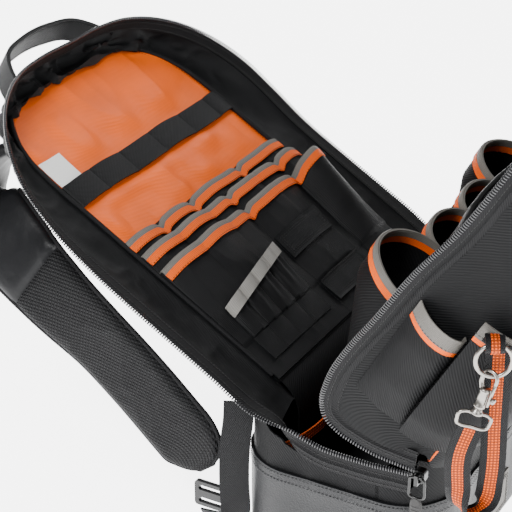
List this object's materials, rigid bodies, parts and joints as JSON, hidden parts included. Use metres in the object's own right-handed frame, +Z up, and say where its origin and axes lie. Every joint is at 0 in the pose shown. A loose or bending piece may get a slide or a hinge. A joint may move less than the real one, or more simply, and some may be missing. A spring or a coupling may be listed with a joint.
{
  "type": "tool backpack",
  "caption": "Open soft tool backpack on a stiff vinyl base: leaning back half with tiered tool pockets, deep leaning front half, straps, thong and snap.",
  "frame": {"origin": "centre of the flat underside of the base", "axes": "+Z up from the floor, X across the bag, -Y to its front, +Y to the side of the wearer's back"},
  "size_m": [0.4257, 0.6861, 0.5081],
  "materials": {
    "twill": "matt ballistic twill",
    "boot_vinyl": "grained vinyl",
    "orange_lining": "coated twill",
    "pocket_nylon": "coated nylon",
    "grey_tape": "grey tape with an orange stripe",
    "black_webbing": "woven webbing",
    "orange_webbing": "woven webbing, orange on black",
    "zip_tape": "woven tape",
    "zip_teeth": "moulded coil",
    "spacer_mesh": "spacer mesh over foam",
    "black_plastic": "moulded",
    "pull_rubber": "moulded rubber",
    "nickel": "nickel plate",
    "tag_cloth": "woven tag"
  },
  "bodies": {
    "root": {"base_boot": "boot_vinyl", "base_band": "twill", "hinge_apron": "pocket_nylon", "boot_patch_near": "grey_tape", "boot_patch_far": "grey_tape", "back_pad": "twill", "back_lining": "orange_lining", "back_gusset": "twill", "back_piping": "twill", "back_zip_tape": "zip_tape", "back_zip_chain": "zip_teeth", "webbing_ladder": "black_webbing", "care_tag": "tag_cloth", "tier_top": "pocket_nylon", "tier_middle": "pocket_nylon", "tier_low": "pocket_nylon", "tier_top_binding": "grey_tape", "tier_middle_binding": "grey_tape", "tier_low_binding": "grey_tape", "driver_slots": "pocket_nylon", "slot_band": "grey_tape", "tool_patch_1": "pocket_nylon", "tool_patch_2": "pocket_nylon", "top_handle": "black_webbing", "front_panel": "twill", "front_gusset": "twill", "front_zip_tape": "zip_tape", "front_zip_chain": "zip_teeth", "inner_divider": "pocket_nylon", "inner_pockets": "twill", "inner_binding": "grey_tape", "side_pocket_near": "twill", "side_pocket_far": "twill", "front_pocket": "twill", "front_binding": "grey_tape", "strap_pad_near": "spacer_mesh", "strap_pad_far": "spacer_mesh", "strap_webbing_near": "black_webbing", "strap_webbing_far": "black_webbing", "ladder_lock_near": "black_plastic", "ladder_lock_far": "black_plastic", "zip_slider_near": "nickel", "zip_slider_far": "nickel", "thong_ring": "nickel", "ring_tab": "orange_webbing", "snap_hook": "nickel", "snap_eye": "nickel", "thong_webbing": "orange_webbing"},
    "pull_near": {"pull_loop_near": "nickel", "pull_tab_near": "pull_rubber"},
    "pull_far": {"pull_loop_far": "nickel", "pull_tab_far": "pull_rubber"},
    "bolt": {"snap_bolt": "nickel"}
  },
  "joints": [
    {"name": "pull_near_swing", "type": "hinge", "parent": "root", "child": "pull_near", "pos_m": [-0.1902, -0.07752, 0.12455], "axis": [0, 1, 0], "range_deg": [0, 75]},
    {"name": "pull_far_swing", "type": "hinge", "parent": "root", "child": "pull_far", "pos_m": [0.1902, -0.07752, 0.12455], "axis": [0, -1, 0], "range_deg": [0, 75]},
    {"name": "snap_bolt_slide", "type": "slide", "parent": "root", "child": "bolt", "axis": [-0.1372, 0.2436, -0.9601], "range_m": [0, 0.006], "stiffness_N_per_m": 150, "springref_m": -0.004}
  ]
}
